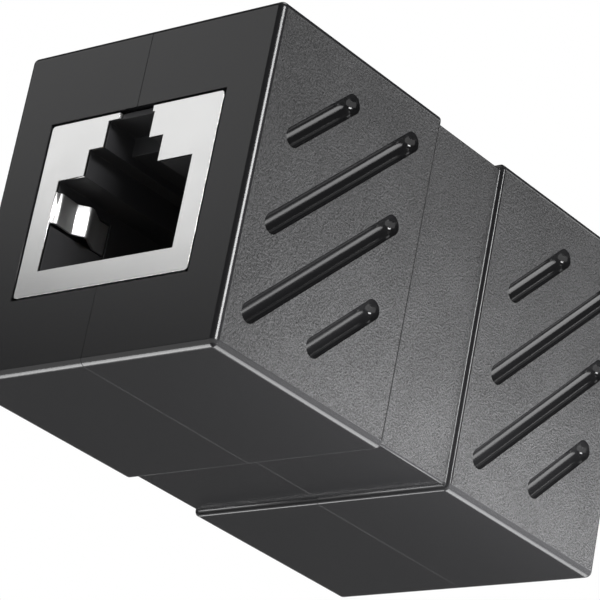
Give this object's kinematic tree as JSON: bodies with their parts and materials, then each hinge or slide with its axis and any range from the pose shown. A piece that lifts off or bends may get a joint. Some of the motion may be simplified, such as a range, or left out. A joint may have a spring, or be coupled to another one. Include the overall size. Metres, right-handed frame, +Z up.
{
  "type": "rj45 inline coupler",
  "caption": "Shielded in-line coupler that joins network patch plugs end to end: a grooved, waisted plastic block with a metal-framed latch socket in each end.",
  "frame": {"origin": "middle of the underside, on the surface it rests on", "axes": "+Y from the front socket to the rear one, +Z up towards the latch side, +X across the grooved sides"},
  "size_m": [0.0228, 0.0412, 0.0243],
  "materials": {
    "housing_plastic": "black moulded plastic, spark textured on the sides and satin elsewhere",
    "socket_plastic": "black moulded plastic, satin",
    "shield_sheet": "nickel-plated sheet, finely rolled",
    "contact_plating": "gold-plated spring wire",
    "board_laminate": "green solder mask on glass laminate"
  },
  "bodies": {
    "root": {"circuit_board": "board_laminate", "contact_carrier_front": "socket_plastic", "contact_carrier_rear": "socket_plastic", "contact_front_1": "contact_plating", "contact_front_2": "contact_plating", "contact_front_3": "contact_plating", "contact_front_4": "contact_plating", "contact_front_5": "contact_plating", "contact_front_6": "contact_plating", "contact_front_7": "contact_plating", "contact_front_8": "contact_plating", "contact_rear_1": "contact_plating", "contact_rear_2": "contact_plating", "contact_rear_3": "contact_plating", "contact_rear_4": "contact_plating", "contact_rear_5": "contact_plating", "contact_rear_6": "contact_plating", "contact_rear_7": "contact_plating", "contact_rear_8": "contact_plating", "housing_left": "housing_plastic", "housing_right": "housing_plastic", "jack_body_front": "socket_plastic", "jack_body_rear": "socket_plastic", "shield_front": "shield_sheet", "shield_rear": "shield_sheet"}
  },
  "joints": []
}
